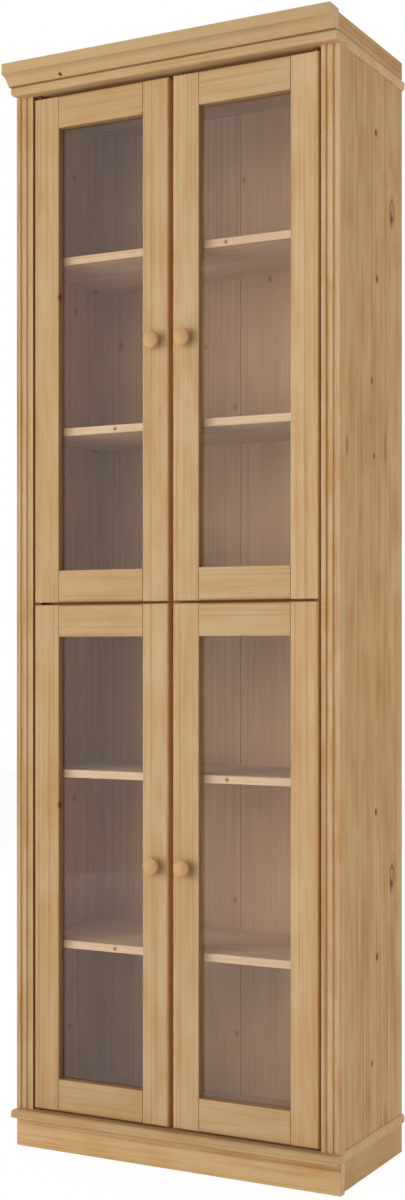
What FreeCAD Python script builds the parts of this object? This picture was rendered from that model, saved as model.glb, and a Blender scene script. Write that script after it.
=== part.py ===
import FreeCAD, Part

import math
import os

# Tall glass-door bookcase in solid pine, millimetres.
# +Z is up, +X is to the right seen from the front, +Y is to the back. The
# origin is on the floor in the middle of the outline seen from above.

# Outline of the whole
HEIGHT = 2200.0
CARCASS_W = 711.0  # over the two side panels
CARCASS_D = 323.0  # front of the pilasters to the back edge of the side panels
CROWN_PROJ = 53.0  # crown's front ahead of the pilasters
EDGE_LAP = 5.5  # boards and pilasters stand past the side panels by this much
CROWN_LAP = 1.0  # crown stands past the boards by this much, each end

# Boards
SIDE_T = 18.0
SLAB_T = 17.0  # top and bottom boards
SHELF_T = 16.0
BACK_T = 8.0
NOSE_PROJ = 20.0  # top and bottom boards ahead of the pilasters
NOSE_R = 6.0  # rounding of the two boards' front edges and ends
SMALL_R = 1.2  # eased edge
OVERRUN = 2.0  # a shaping cut runs past the wood by this much
SHAPING_TOL = 0.0001  # how closely two shaping cuts have to meet
LOOSE_SHELVES = 4
SHELF_END_GAP = 2.0
SHELF_BACK_GAP = 1.0
HOUSING_DEPTH = 6.0  # middle shelf let into the side panels
BACK_INSET = 10.0  # back panels in from the side panels' back edge
BACK_REBATE = 8.0
BACK_SLIT = 1.5  # open joint between the two back panels
TONGUE_L = 5.0
TONGUE_T = 3.0
TONGUE_PLAY = 0.3

# Plinth and crown
PLINTH_H = 60.0
PLINTH_T = 18.0
PLINTH_REAR_INSET = 20.0
PLINTH_CORNER_R = 2.0
CROWN_H = 40.0
CROWN_T = 40.5  # crown moulding, front to back
CROWN_FILLET = 21.5  # height of its upright front face
CROWN_COVE_RUN = 19.0  # the cove runs in by this much
CROWN_SAG = 2.5  # hollow of the cove
CROWN_BEVEL_RUN = 6.5  # and the bevel under it by this much
CROWN_BEVEL_H = 6.0
CROWN_FOOT = 2.0  # height of its lower upright

# Pilasters
PILASTER_W = 40.5
PILASTER_T = 18.0
FLUTES = 2
FLUTE_PITCH = 14.5
FLUTE_R = 3.5

# Doors
DOOR_T = 20.0
DOOR_PROUD = 1.0  # door's face ahead of the pilasters
DOOR_SIDE_GAP = 4.5
DOOR_CENTRE_GAP = 10.0
DOOR_FOOT_GAP = 4.0
DOOR_MID_GAP = 4.5
DOOR_HEAD_GAP = 8.5
DOOR_SHELF_GAP = 4.0  # back of a door to the shelves' front edges
STILE_W = 58.0
RAIL_W = 65.0
RIM_R = 4.0  # rounding of a door's outer front edge
SIGHT_R = 2.5  # rounding of the edge round the glass
BACK_R = 2.0
GLASS_T = 3.0
GLASS_SET = 11.0  # wood in front of the pane
REBATE_W = 9.0
PANE_PLAY = 1.0
BEAD_R = 2.5
TENON_L = 24.0
TENON_T = 6.0
TENON_SHOULDER = 10.0
TENON_SPARE = 1.0  # mortise deeper than the tenon

# Door pivots
PIVOT_IN = 8.0  # pivot in from the door's hinge edge
PIN_R = 3.0
PIN_PLAY = 0.1  # radial
PIN_REACH = 8.0  # length of pin inside the door
PIN_COVER = 5.0  # wood left beyond the pin in the top and bottom boards
BUSH_R = 5.0
BUSH_SPARE = 2.0  # bush longer than the pin's reach
BUSH_SEAT_SPARE = 1.0  # bore longer than the bush
COLLAR_PLAY = 0.3  # between a collar or plate and a door's end
PLATE_W = 8.0
PLATE_TANG = 20.0  # plate let into the pilaster

# Knobs
KNOB_R = 17.5
KNOB_L = 27.0
KNOB_BRIM = 17.5  # widest place, ahead of the door
KNOB_RIM_R = 5.0  # half the height of the rounded rim
KNOB_RIM_BULGE = 3.0  # rim past the cap
KNOB_FOOT_R = 9.0
KNOB_NECK_R = 7.0
KNOB_NECK_L = 7.0
KNOB_SPIGOT_R = 5.0
KNOB_SPIGOT_L = 12.0
KNOB_DROP = 2.0  # below the door's middle

# Catches
CATCH_W = 40.0
CATCH_D = 14.0
CATCH_H = 28.0
STRIKE_R = 9.0
STRIKE_T = 1.2
STRIKE_PIN_R = 2.0
STRIKE_PIN_L = 10.0
STRIKE_DOWN = 14.0  # strike's centre below the door's top edge
CATCH_PLAY = 0.3

# Shelf pins and screws
SHELF_PIN_R = 2.5
SHELF_PIN_SEAT = 8.0
SHELF_PIN_REACH = 10.0
SHELF_COLLAR_R = 3.8
SHELF_COLLAR_T = 1.2
PIN_HOLE_SPARE = 0.5
PIN_ROW_IN = 40.0  # rows of holes in from the shelf's front and back edges
HOLE_PITCH = 32.0
HOLES_EACH_WAY = 2  # spare holes above and below each shelf
SCREW_HEAD_R = 5.0
SCREW_HEAD_T = 4.0
SCREW_R = 3.0
SCREW_L = 50.0
SCREWS_PER_SIDE = 3
SCREW_END = 50.0

# Levels and planes that follow from the sizes above
Y_REAR = (CARCASS_D + CROWN_PROJ) / 2
Y_FACE = Y_REAR - CARCASS_D
Y_CROWN = Y_FACE - CROWN_PROJ
Y_NOSE = Y_FACE - NOSE_PROJ
Y_SIDE = Y_FACE + PILASTER_T
Y_BACK = Y_REAR - BACK_INSET - BACK_T
X_SIDE = CARCASS_W / 2
X_INNER = X_SIDE - SIDE_T
X_EDGE = X_SIDE + EDGE_LAP
X_PILASTER = X_EDGE - PILASTER_W
Z_FLOOR = PLINTH_H + SLAB_T
Z_SLAB = HEIGHT - CROWN_H
Z_CEIL = Z_SLAB - SLAB_T
SHELVES = LOOSE_SHELVES + 1
BAY_H = (Z_CEIL - Z_FLOOR - SHELVES * SHELF_T) / (SHELVES + 1)

Y_DOOR = Y_FACE - DOOR_PROUD
Y_DOOR_BACK = Y_DOOR + DOOR_T
Y_SHELF = Y_DOOR_BACK + DOOR_SHELF_GAP
Y_GLASS = Y_DOOR + GLASS_SET
X_DOOR_OUT = X_PILASTER - DOOR_SIDE_GAP
X_DOOR_IN = DOOR_CENTRE_GAP / 2
DOOR_H = (Z_CEIL - Z_FLOOR - DOOR_FOOT_GAP - DOOR_MID_GAP - DOOR_HEAD_GAP) / 2
Z_LOWER = Z_FLOOR + DOOR_FOOT_GAP
Z_UPPER = Z_LOWER + DOOR_H + DOOR_MID_GAP
BUSH_L = PIN_REACH + BUSH_SPARE
PIN_SEAT = SLAB_T - PIN_COVER
PLATE_T = DOOR_MID_GAP - 2 * COLLAR_PLAY
X_PIVOT = X_DOOR_OUT - PIVOT_IN
Y_PIVOT = Y_DOOR + DOOR_T / 2
X_SIGHT_OUT = X_DOOR_OUT - STILE_W
X_SIGHT_IN = X_DOOR_IN + STILE_W
X_KNOB = X_DOOR_IN + STILE_W / 2
KNOB_CAP_R = KNOB_R - KNOB_RIM_BULGE
KNOB_SHOULDER = KNOB_BRIM + KNOB_RIM_R


def block(x0, y0, z0, x1, y1, z1):
    """A plain board between two opposite corners."""
    return Part.makeBox(x1 - x0, y1 - y0, z1 - z0, FreeCAD.Vector(x0, y0, z0))


def rod(radius, length, x, y, z, direction):
    """A round bar from a point along a direction."""
    return Part.makeCylinder(radius, length, FreeCAD.Vector(x, y, z), direction)


def rounded_loop(corners, place):
    """A closed outline through (u, v, radius) corners, each turned with an arc."""
    edges = []
    first = None
    last = None
    for i, (u, v, radius) in enumerate(corners):
        before = corners[i - 1]
        after = corners[(i + 1) % len(corners)]
        back = math.atan2(before[1] - v, before[0] - u)
        ahead = math.atan2(after[1] - v, after[0] - u)
        half = abs((ahead - back + math.pi) % (2 * math.pi) - math.pi) / 2
        reach = radius / math.tan(half)
        start = place(u + reach * math.cos(back), v + reach * math.sin(back))
        end = place(u + reach * math.cos(ahead), v + reach * math.sin(ahead))
        if last is not None:
            edges.append(Part.makeLine(last, start))
        if first is None:
            first = start
        if radius > 0:
            middle = math.atan2(math.sin(back) + math.sin(ahead), math.cos(back) + math.cos(ahead))
            crest = radius / math.sin(half) - radius
            top = place(u + crest * math.cos(middle), v + crest * math.sin(middle))
            edges.append(Part.Arc(start, top, end).toShape())
        last = end
    edges.append(Part.makeLine(last, first))
    return Part.Face(Part.Wire(edges))


def along_x(corners, x0, x1):
    """A bar along X whose (y, z) section has the given rounded corners."""
    face = rounded_loop(corners, lambda y, z: FreeCAD.Vector(x0, y, z))
    return face.extrude(FreeCAD.Vector(x1 - x0, 0, 0))


def along_y(corners, y0, y1):
    """A bar along Y whose (x, z) section has the given rounded corners."""
    face = rounded_loop(corners, lambda x, z: FreeCAD.Vector(x, y0, z))
    return face.extrude(FreeCAD.Vector(0, y1 - y0, 0))


def along_z(corners, z0, z1):
    """A bar along Z whose (x, y) section has the given rounded corners."""
    face = rounded_loop(corners, lambda x, y: FreeCAD.Vector(x, y, z0))
    return face.extrude(FreeCAD.Vector(0, 0, z1 - z0))


def crossed(bar, other):
    """The wood that two bars across each other share."""
    return bar.common([other], SHAPING_TOL)


def mirrored(shape):
    """The same piece on the other side of the bookcase."""
    return shape.mirror(FreeCAD.Vector(0, 0, 0), FreeCAD.Vector(1, 0, 0))


def shelf_level(number):
    """Underside of a shelf, counted from one at the bottom."""
    return Z_FLOOR + number * BAY_H + (number - 1) * SHELF_T


def loose_numbers():
    """Positions of the loose shelves: all but the middle one."""
    middle = SHELVES // 2 + 1
    return [n for n in range(1, SHELVES + 1) if n != middle]


def pin_rows():
    """The two depths at which the shelves' pins stand."""
    return [Y_SHELF + PIN_ROW_IN, Y_BACK - PIN_ROW_IN]


def screw_rows():
    """Depths of the screws through the top and bottom boards."""
    first = Y_SIDE + SCREW_END
    last = Y_REAR - SCREW_END
    step = (last - first) / (SCREWS_PER_SIDE - 1)
    return [first + i * step for i in range(SCREWS_PER_SIDE)]


def screw(x, y, z, up):
    """A countersunk joining screw whose head lies flush at height z."""
    way = FreeCAD.Vector(0, 0, up)
    head = Part.makeCone(SCREW_HEAD_R, SCREW_R, SCREW_HEAD_T, FreeCAD.Vector(x, y, z), way)
    shank = rod(SCREW_R, SCREW_L, x, y, z, way)
    return head.fuse(shank).removeSplitter()


def all_screws():
    """Every screw that joins the top and bottom boards to the side panels."""
    x = X_INNER + SIDE_T / 2
    screws = []
    for side in (-1, 1):
        for y in screw_rows():
            screws.append(screw(side * x, y, Z_SLAB, -1))
            screws.append(screw(side * x, y, PLINTH_H, 1))
    return screws


def shelf_pin(side, y, z):
    """One shelf pin: seat in the panel, collar on its face, stub under the shelf."""
    inward = FreeCAD.Vector(-side, 0, 0)
    x = side * X_INNER
    pin = rod(SHELF_PIN_R, SHELF_PIN_SEAT + SHELF_PIN_REACH, x + side * SHELF_PIN_SEAT, y, z, inward)
    collar = rod(SHELF_COLLAR_R, SHELF_COLLAR_T, x, y, z, inward)
    return pin.fuse(collar).removeSplitter()


def shelf_pins():
    """Four pins under each loose shelf."""
    pins = []
    for number in loose_numbers():
        z = shelf_level(number) - SHELF_PIN_R
        for y in pin_rows():
            pins.append(shelf_pin(-1, y, z))
            pins.append(shelf_pin(1, y, z))
    return pins


def pin_holes():
    """Holes for the shelf pins in the right side panel, with spare heights."""
    holes = []
    depth = SHELF_PIN_SEAT + PIN_HOLE_SPARE
    for number in loose_numbers():
        for step in range(-HOLES_EACH_WAY, HOLES_EACH_WAY + 1):
            z = shelf_level(number) - SHELF_PIN_R + step * HOLE_PITCH
            for y in pin_rows():
                holes.append(rod(SHELF_PIN_R, depth, X_INNER, y, z, FreeCAD.Vector(1, 0, 0)))
    return holes


def middle_level():
    """Underside of the fixed middle shelf."""
    return shelf_level(SHELVES // 2 + 1)


def side_panel():
    """Right side panel with its holes, housing and back rebate."""
    panel = block(X_INNER, Y_SIDE, Z_FLOOR, X_SIDE, Y_REAR, Z_CEIL)
    z = middle_level()
    housing = block(X_INNER, Y_SHELF, z, X_INNER + HOUSING_DEPTH, Y_BACK, z + SHELF_T)
    rebate = block(X_INNER, Y_BACK, Z_FLOOR, X_INNER + BACK_REBATE, Y_REAR, Z_CEIL)
    return panel.cut([housing, rebate] + pin_holes() + all_screws())


def slab(z0, low_r, high_r):
    """A top or bottom board, its front edges and its ends rounded alike."""
    z1 = z0 + SLAB_T
    front = along_x(
        [(Y_NOSE, z0, low_r), (Y_REAR, z0, 0), (Y_REAR, z1, 0), (Y_NOSE, z1, high_r)],
        -X_EDGE - OVERRUN,
        X_EDGE + OVERRUN,
    )
    ends = along_y(
        [(-X_EDGE, z0, low_r), (X_EDGE, z0, low_r), (X_EDGE, z1, high_r), (-X_EDGE, z1, high_r)],
        Y_NOSE - OVERRUN,
        Y_REAR + OVERRUN,
    )
    return crossed(front, ends)


def end_pins():
    """The pressed pins at the foot of the lower doors and the head of the upper ones."""
    pins = []
    up = FreeCAD.Vector(0, 0, 1)
    head = Z_UPPER + DOOR_H
    for side in (-1, 1):
        x = side * X_PIVOT
        low = rod(PIN_R, PIN_SEAT + DOOR_FOOT_GAP + PIN_REACH, x, Y_PIVOT, Z_FLOOR - PIN_SEAT, up)
        low_collar = rod(BUSH_R, DOOR_FOOT_GAP - COLLAR_PLAY, x, Y_PIVOT, Z_FLOOR, up)
        high = rod(PIN_R, PIN_SEAT + DOOR_HEAD_GAP + PIN_REACH, x, Y_PIVOT, head - PIN_REACH, up)
        high_collar = rod(BUSH_R, DOOR_HEAD_GAP - COLLAR_PLAY, x, Y_PIVOT, head + COLLAR_PLAY, up)
        pins.append(low.fuse(low_collar).removeSplitter())
        pins.append(high.fuse(high_collar).removeSplitter())
    return pins


def middle_plate():
    """Right middle plate: tang in the pilaster, one pin up and down through its eye."""
    gap_low = Z_LOWER + DOOR_H
    z0 = gap_low + COLLAR_PLAY
    up = FreeCAD.Vector(0, 0, 1)
    y = Y_PIVOT - PLATE_W / 2
    leaf = block(X_PIVOT, y, z0, X_PILASTER + PLATE_TANG, y + PLATE_W, z0 + PLATE_T)
    eye = rod(BUSH_R, PLATE_T, X_PIVOT, Y_PIVOT, z0, up)
    pin = rod(PIN_R, DOOR_MID_GAP + 2 * PIN_REACH, X_PIVOT, Y_PIVOT, gap_low - PIN_REACH, up)
    return leaf.fuse([eye, pin]).removeSplitter()


def door_pivots():
    """All the fixed pins the doors turn on."""
    plate = middle_plate()
    return end_pins() + [plate, mirrored(plate)]


def top_board():
    """Board over the carcass; the nosing is rounded underneath."""
    board = slab(Z_CEIL, NOSE_R, SMALL_R)
    return board.cut(all_screws() + end_pins())


def bottom_board():
    """Board under the carcass; the nosing is rounded on top."""
    board = slab(PLINTH_H, SMALL_R, NOSE_R)
    return board.cut(all_screws() + end_pins())


def shelf_board(x_end, y_back, z):
    """A shelf with its front edges eased."""
    corners = [
        (Y_SHELF, z, SMALL_R),
        (y_back, z, 0),
        (y_back, z + SHELF_T, 0),
        (Y_SHELF, z + SHELF_T, SMALL_R),
    ]
    return along_x(corners, -x_end, x_end)


def middle_shelf():
    """The fixed shelf behind the joint between the doors."""
    x_end = X_INNER + HOUSING_DEPTH
    z = middle_level()
    corners = block(X_INNER, Y_SHELF, z, x_end, Y_BACK, z + SHELF_T)
    return shelf_board(X_INNER, Y_BACK, z).fuse([corners, mirrored(corners)]).removeSplitter()


def loose_shelf(number):
    """A shelf resting on four pins."""
    return shelf_board(X_INNER - SHELF_END_GAP, Y_BACK - SHELF_BACK_GAP, shelf_level(number))


def back_panel():
    """Right back panel, grooved along its inner edge."""
    x0 = BACK_SLIT / 2
    panel = block(x0, Y_BACK, Z_FLOOR, X_INNER + BACK_REBATE, Y_BACK + BACK_T, Z_CEIL)
    y = Y_BACK + BACK_T / 2
    half = TONGUE_T / 2 + TONGUE_PLAY
    groove = block(x0, y - half, Z_FLOOR, x0 + TONGUE_L + TONGUE_PLAY, y + half, Z_CEIL)
    return panel.cut(groove)


def back_panel_tongued():
    """Left back panel, its tongue lying in the other panel's groove."""
    x0 = BACK_SLIT / 2
    panel = block(-X_INNER - BACK_REBATE, Y_BACK, Z_FLOOR, -x0, Y_BACK + BACK_T, Z_CEIL)
    y = Y_BACK + BACK_T / 2
    tongue = block(-x0, y - TONGUE_T / 2, Z_FLOOR, x0 + TONGUE_L, y + TONGUE_T / 2, Z_CEIL)
    return panel.fuse(tongue).removeSplitter()


def pilaster():
    """Right pilaster with its flutes and the slot for the middle plate."""
    post = along_z(
        [
            (X_PILASTER, Y_FACE, SMALL_R),
            (X_EDGE, Y_FACE, SMALL_R),
            (X_EDGE, Y_SIDE, 0),
            (X_PILASTER, Y_SIDE, 0),
        ],
        Z_FLOOR,
        Z_CEIL,
    )
    middle = (X_PILASTER + X_EDGE) / 2
    cuts = [middle_plate()]
    for i in range(FLUTES):
        x = middle + (i - (FLUTES - 1) / 2) * FLUTE_PITCH
        start = Z_FLOOR - OVERRUN
        cuts.append(rod(FLUTE_R, Z_CEIL + OVERRUN - start, x, Y_FACE, start, FreeCAD.Vector(0, 0, 1)))
    return post.cut(cuts)


def plinth_front():
    """Front plinth board, flush with the pilasters."""
    corners = [
        (-X_EDGE, Y_FACE, PLINTH_CORNER_R),
        (X_EDGE, Y_FACE, PLINTH_CORNER_R),
        (X_EDGE, Y_FACE + PLINTH_T, 0),
        (-X_EDGE, Y_FACE + PLINTH_T, 0),
    ]
    return along_z(corners, 0, PLINTH_H)


def plinth_side():
    """Right plinth board, under the side panel."""
    return block(X_SIDE - PLINTH_T, Y_FACE + PLINTH_T, 0, X_SIDE, Y_REAR, PLINTH_H)


def plinth_rear():
    """Rear plinth board, between the two sides."""
    x = X_SIDE - PLINTH_T
    y = Y_REAR - PLINTH_REAR_INSET
    return block(-x, y - PLINTH_T, 0, x, y, PLINTH_H)


def crown_moulding():
    """Front crown: upright face, hollow cove, bevel, short foot."""
    x = X_EDGE + CROWN_LAP
    z_fillet = HEIGHT - CROWN_FILLET
    z_foot = Z_SLAB + CROWN_FOOT
    z_arris = z_foot + CROWN_BEVEL_H
    y_arris = Y_CROWN + CROWN_COVE_RUN
    y_foot = y_arris + CROWN_BEVEL_RUN
    rise = z_fillet - z_arris
    chord = math.hypot(CROWN_COVE_RUN, rise)
    y_mid = Y_CROWN + CROWN_COVE_RUN / 2 + CROWN_SAG * rise / chord
    z_mid = (z_fillet + z_arris) / 2 + CROWN_SAG * CROWN_COVE_RUN / chord
    brow = FreeCAD.Vector(-x, Y_CROWN, z_fillet)
    hollow = FreeCAD.Vector(-x, y_mid, z_mid)
    arris = FreeCAD.Vector(-x, y_arris, z_arris)
    foot = FreeCAD.Vector(-x, y_foot, z_foot)
    heel = FreeCAD.Vector(-x, y_foot, Z_SLAB)
    back_low = FreeCAD.Vector(-x, Y_CROWN + CROWN_T, Z_SLAB)
    back_high = FreeCAD.Vector(-x, Y_CROWN + CROWN_T, HEIGHT)
    lip = FreeCAD.Vector(-x, Y_CROWN, HEIGHT)
    cove = Part.Arc(brow, hollow, arris).toShape()
    straight = Part.makePolygon([arris, foot, heel, back_low, back_high, lip, brow])
    wire = Part.Wire([cove] + straight.Edges)
    return Part.Face(wire).extrude(FreeCAD.Vector(2 * x, 0, 0))


def crown_side():
    """Right crown board, standing on the top board behind the moulding."""
    return block(X_INNER, Y_CROWN + CROWN_T, Z_SLAB, X_SIDE, Y_REAR, HEIGHT)


def knob(z):
    """Turned knob on the right door's closing stile, with its spigot."""

    def at(radius, ahead):
        return FreeCAD.Vector(X_KNOB + radius, Y_DOOR - ahead, z)

    cap_h = KNOB_L - KNOB_SHOULDER
    dome_r = (KNOB_CAP_R**2 + cap_h**2) / (2 * cap_h)
    half_r = KNOB_CAP_R / 2
    foot = [at(0, -KNOB_SPIGOT_L), at(KNOB_SPIGOT_R, -KNOB_SPIGOT_L), at(KNOB_SPIGOT_R, 0), at(KNOB_FOOT_R, 0)]
    neck = at(KNOB_NECK_R, KNOB_NECK_L)
    flare = at(KNOB_CAP_R, KNOB_BRIM - KNOB_RIM_R)
    rim = at(KNOB_R, KNOB_BRIM)
    shoulder = at(KNOB_CAP_R, KNOB_SHOULDER)
    dome = at(half_r, KNOB_L - dome_r + math.sqrt(dome_r**2 - half_r**2))
    crest = at(0, KNOB_L)
    edges = Part.makePolygon(foot + [neck, flare]).Edges
    edges.append(Part.Arc(flare, rim, shoulder).toShape())
    edges.append(Part.Arc(shoulder, dome, crest).toShape())
    edges.append(Part.makeLine(crest, foot[0]))
    face = Part.Face(Part.Wire(edges))
    return face.revolve(FreeCAD.Vector(X_KNOB, 0, z), FreeCAD.Vector(0, 1, 0), 360)


def strike(z_top):
    """Steel strike stud on the back of the right door's closing stile."""
    back = FreeCAD.Vector(0, 1, 0)
    z = z_top - STRIKE_DOWN
    disc = rod(STRIKE_R, STRIKE_T, X_KNOB, Y_DOOR_BACK, z, back)
    nail = rod(STRIKE_PIN_R, STRIKE_PIN_L, X_KNOB, Y_DOOR_BACK - STRIKE_PIN_L, z, back)
    return disc.fuse(nail).removeSplitter()


def catch(z_top):
    """Right magnetic catch housing, hung from a board's underside."""
    y = Y_DOOR_BACK + STRIKE_T + CATCH_PLAY
    corners = [
        (X_KNOB - CATCH_W / 2, y, SMALL_R),
        (X_KNOB + CATCH_W / 2, y, SMALL_R),
        (X_KNOB + CATCH_W / 2, y + CATCH_D, SMALL_R),
        (X_KNOB - CATCH_W / 2, y + CATCH_D, SMALL_R),
    ]
    return along_z(corners, z_top - CATCH_H, z_top)


def door_catches():
    """A housing over each door, under the top board and under the middle shelf."""
    housings = []
    for z_top in (Z_CEIL, middle_level()):
        housing = catch(z_top)
        housings += [housing, mirrored(housing)]
    return housings


def pivot_bores(z0):
    """Holes in the hinge stile's two ends for the bushes."""
    depth = BUSH_L + BUSH_SEAT_SPARE
    up = FreeCAD.Vector(0, 0, 1)
    low = rod(BUSH_R, depth + OVERRUN, X_PIVOT, Y_PIVOT, z0 - OVERRUN, up)
    high = rod(BUSH_R, depth + OVERRUN, X_PIVOT, Y_PIVOT, z0 + DOOR_H - depth, up)
    return [low, high]


def bushes(z0):
    """The two brass bushes in the hinge stile's ends."""
    rings = []
    for z in (z0, z0 + DOOR_H - BUSH_L):
        outer = rod(BUSH_R, BUSH_L, X_PIVOT, Y_PIVOT, z, FreeCAD.Vector(0, 0, 1))
        bore = rod(PIN_R + PIN_PLAY, BUSH_L, X_PIVOT, Y_PIVOT, z, FreeCAD.Vector(0, 0, 1))
        rings.append(outer.cut(bore))
    return rings


def tenon(x0, x1, z_rail, spare):
    """A rail's tenon, or with spare length the mortise it fills."""
    y0 = Y_DOOR + (GLASS_SET - TENON_T) / 2
    z0 = z_rail + TENON_SHOULDER
    z1 = z_rail + RAIL_W - TENON_SHOULDER
    return block(x0 - spare, y0, z0, x1 + spare, y0 + TENON_T, z1)


def glass_rebate(z0):
    """The space behind the front lip for the pane and beads."""
    return block(
        X_SIGHT_IN - REBATE_W,
        Y_GLASS,
        z0 + RAIL_W - REBATE_W,
        X_SIGHT_OUT + REBATE_W,
        Y_DOOR_BACK,
        z0 + DOOR_H - RAIL_W + REBATE_W,
    )


def stile(x0, x1, left_r, right_r, left_back, right_back, z0):
    """An upright of the right door, rounded all round its front."""
    z1 = z0 + DOOR_H
    post = along_z(
        [
            (x0, Y_DOOR, left_r),
            (x1, Y_DOOR, right_r),
            (x1, Y_DOOR_BACK, right_back),
            (x0, Y_DOOR_BACK, left_back),
        ],
        z0 - OVERRUN,
        z1 + OVERRUN,
    )
    ends = along_x(
        [(Y_DOOR, z0, RIM_R), (Y_DOOR_BACK, z0, 0), (Y_DOOR_BACK, z1, 0), (Y_DOOR, z1, RIM_R)],
        x0 - OVERRUN,
        x1 + OVERRUN,
    )
    cuts = [glass_rebate(z0)]
    for z_rail in (z0, z1 - RAIL_W):
        cuts.append(tenon(X_SIGHT_IN - TENON_L, X_SIGHT_OUT + TENON_L, z_rail, TENON_SPARE))
    return crossed(post, ends).cut(cuts)


def hinge_stile(z0):
    """Upright that carries the bushes."""
    post = stile(X_SIGHT_OUT, X_DOOR_OUT, SIGHT_R, RIM_R, 0, BACK_R, z0)
    return post.cut(pivot_bores(z0))


def closing_stile(z0):
    """Upright that carries the knob and the strike."""
    post = stile(X_DOOR_IN, X_SIGHT_IN, RIM_R, SIGHT_R, BACK_R, 0, z0)
    return post.cut([knob(knob_level(z0)), strike(z0 + DOOR_H)])


def knob_level(z0):
    """Height of a door's knob."""
    return z0 + DOOR_H / 2 - KNOB_DROP


def rail(z0, z_rail, low_r, high_r):
    """A cross rail of the right door with a tenon at each end."""
    z1 = z_rail + RAIL_W
    bar = along_x(
        [(Y_DOOR, z_rail, low_r), (Y_DOOR_BACK, z_rail, 0), (Y_DOOR_BACK, z1, 0), (Y_DOOR, z1, high_r)],
        X_SIGHT_IN - OVERRUN,
        X_SIGHT_OUT + OVERRUN,
    )
    ends = along_z(
        [
            (X_SIGHT_IN, Y_DOOR, SMALL_R),
            (X_SIGHT_OUT, Y_DOOR, SMALL_R),
            (X_SIGHT_OUT, Y_DOOR_BACK, 0),
            (X_SIGHT_IN, Y_DOOR_BACK, 0),
        ],
        z_rail - OVERRUN,
        z1 + OVERRUN,
    )
    inner = tenon(X_SIGHT_IN - TENON_L, X_SIGHT_IN, z_rail, 0)
    outer = tenon(X_SIGHT_OUT, X_SIGHT_OUT + TENON_L, z_rail, 0)
    body = crossed(bar, ends).cut(glass_rebate(z0))
    return body.fuse([inner, outer]).removeSplitter()


def bottom_rail(z0):
    """Lower cross rail."""
    return rail(z0, z0, RIM_R, SIGHT_R)


def top_rail(z0):
    """Upper cross rail."""
    return rail(z0, z0 + DOOR_H - RAIL_W, SIGHT_R, RIM_R)


def pane(z0):
    """The glass, a little smaller than its rebate."""
    grow = REBATE_W - PANE_PLAY
    return block(
        X_SIGHT_IN - grow,
        Y_GLASS,
        z0 + RAIL_W - grow,
        X_SIGHT_OUT + grow,
        Y_GLASS + GLASS_T,
        z0 + DOOR_H - RAIL_W + grow,
    )


def beads(z0):
    """Four glazing beads filling the rebate behind the pane."""
    y0 = Y_GLASS + GLASS_T
    z_low = z0 + RAIL_W - REBATE_W
    z_high = z0 + DOOR_H - RAIL_W + REBATE_W
    bars = []
    for x_wall, x_sight in ((X_SIGHT_IN - REBATE_W, X_SIGHT_IN), (X_SIGHT_OUT + REBATE_W, X_SIGHT_OUT)):
        corners = [(x_wall, y0, 0), (x_sight, y0, 0), (x_sight, Y_DOOR_BACK, BEAD_R), (x_wall, Y_DOOR_BACK, 0)]
        bars.append(along_z(corners, z_low, z_high))
    for z_wall, z_sight in ((z_low, z_low + REBATE_W), (z_high, z_high - REBATE_W)):
        corners = [(y0, z_wall, 0), (y0, z_sight, 0), (Y_DOOR_BACK, z_sight, BEAD_R), (Y_DOOR_BACK, z_wall, 0)]
        bars.append(along_x(corners, X_SIGHT_IN, X_SIGHT_OUT))
    return bars


def door(z0):
    """Every piece of the right door whose lower edge is at z0."""
    return {
        "hinge_stile": hinge_stile(z0),
        "closing_stile": closing_stile(z0),
        "top_rail": top_rail(z0),
        "bottom_rail": bottom_rail(z0),
        "glass": pane(z0),
        "beads": Part.makeCompound(beads(z0)),
        "knob": knob(knob_level(z0)),
        "bushes": Part.makeCompound(bushes(z0)),
        "strike": strike(z0 + DOOR_H),
    }


def carcass():
    """Every piece that stands still."""
    side = side_panel()
    post = pilaster()
    plinth = plinth_side()
    crown = crown_side()
    nodes = {
        "side_panel_right": side,
        "side_panel_left": mirrored(side),
        "top_board": top_board(),
        "bottom_board": bottom_board(),
        "middle_shelf": middle_shelf(),
        "shelf_pins": Part.makeCompound(shelf_pins()),
        "back_panel_right": back_panel(),
        "back_panel_left": back_panel_tongued(),
        "pilaster_right": post,
        "pilaster_left": mirrored(post),
        "plinth_front": plinth_front(),
        "plinth_side_right": plinth,
        "plinth_side_left": mirrored(plinth),
        "plinth_rear": plinth_rear(),
        "crown_moulding": crown_moulding(),
        "crown_side_right": crown,
        "crown_side_left": mirrored(crown),
        "carcass_screws": Part.makeCompound(all_screws()),
        "door_pivots": Part.makeCompound(door_pivots()),
        "door_catches": Part.makeCompound(door_catches()),
    }
    for i, number in enumerate(loose_numbers()):
        nodes["shelf_%d" % (i + 1)] = loose_shelf(number)
    return nodes


def build():
    """Write one STEP file for every piece."""
    nodes = carcass()
    for level, z0 in (("lower", Z_LOWER), ("upper", Z_UPPER)):
        for name, shape in door(z0).items():
            nodes["%s_right_%s" % (level, name)] = shape
            nodes["%s_left_%s" % (level, name)] = mirrored(shape)
    os.makedirs("parts", exist_ok=True)
    for name, shape in nodes.items():
        shape.exportStep("parts/%s.step" % name)


build()
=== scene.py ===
"""Looks, studio and camera for a tall pine bookcase with four glass doors."""

import logging
import math
from collections.abc import Mapping, Sequence
from dataclasses import dataclass, replace
from enum import Enum

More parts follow.
